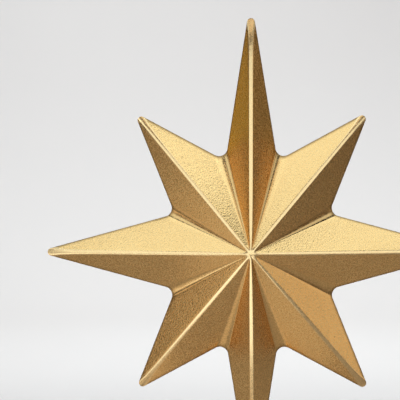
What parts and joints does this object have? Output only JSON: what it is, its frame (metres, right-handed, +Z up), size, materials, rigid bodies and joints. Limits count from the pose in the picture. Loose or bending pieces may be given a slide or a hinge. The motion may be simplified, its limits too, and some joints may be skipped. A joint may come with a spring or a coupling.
{
  "type": "tree topper star",
  "caption": "Faceted gold metal star with long upright rays, standing on a turned collar and a tube socket that slips over the top shoot of a decorated tree.",
  "frame": {"origin": "middle of the socket's open mouth, where the tree's top shoot goes in", "axes": "+Z up along the socket to the star's top tip, +X to the right seen from the front, the pictured front faces -Y"},
  "size_m": [0.232, 0.0504, 0.3097],
  "materials": {
    "star_gold": "satin gold on pressed steel sheet, with a fine sandy grain and brighter crests",
    "fitting_gold": "satin gold, smoother than the star",
    "zinc_steel": "zinc plated"
  },
  "bodies": {
    "root": {"front_shell": "star_gold", "back_shell": "star_gold", "collar": "fitting_gold", "socket": "fitting_gold", "wedge_plate": "zinc_steel", "carriage_bolt": "zinc_steel", "flat_washer": "zinc_steel", "spring_washer": "zinc_steel", "hex_nut": "zinc_steel"}
  },
  "joints": []
}
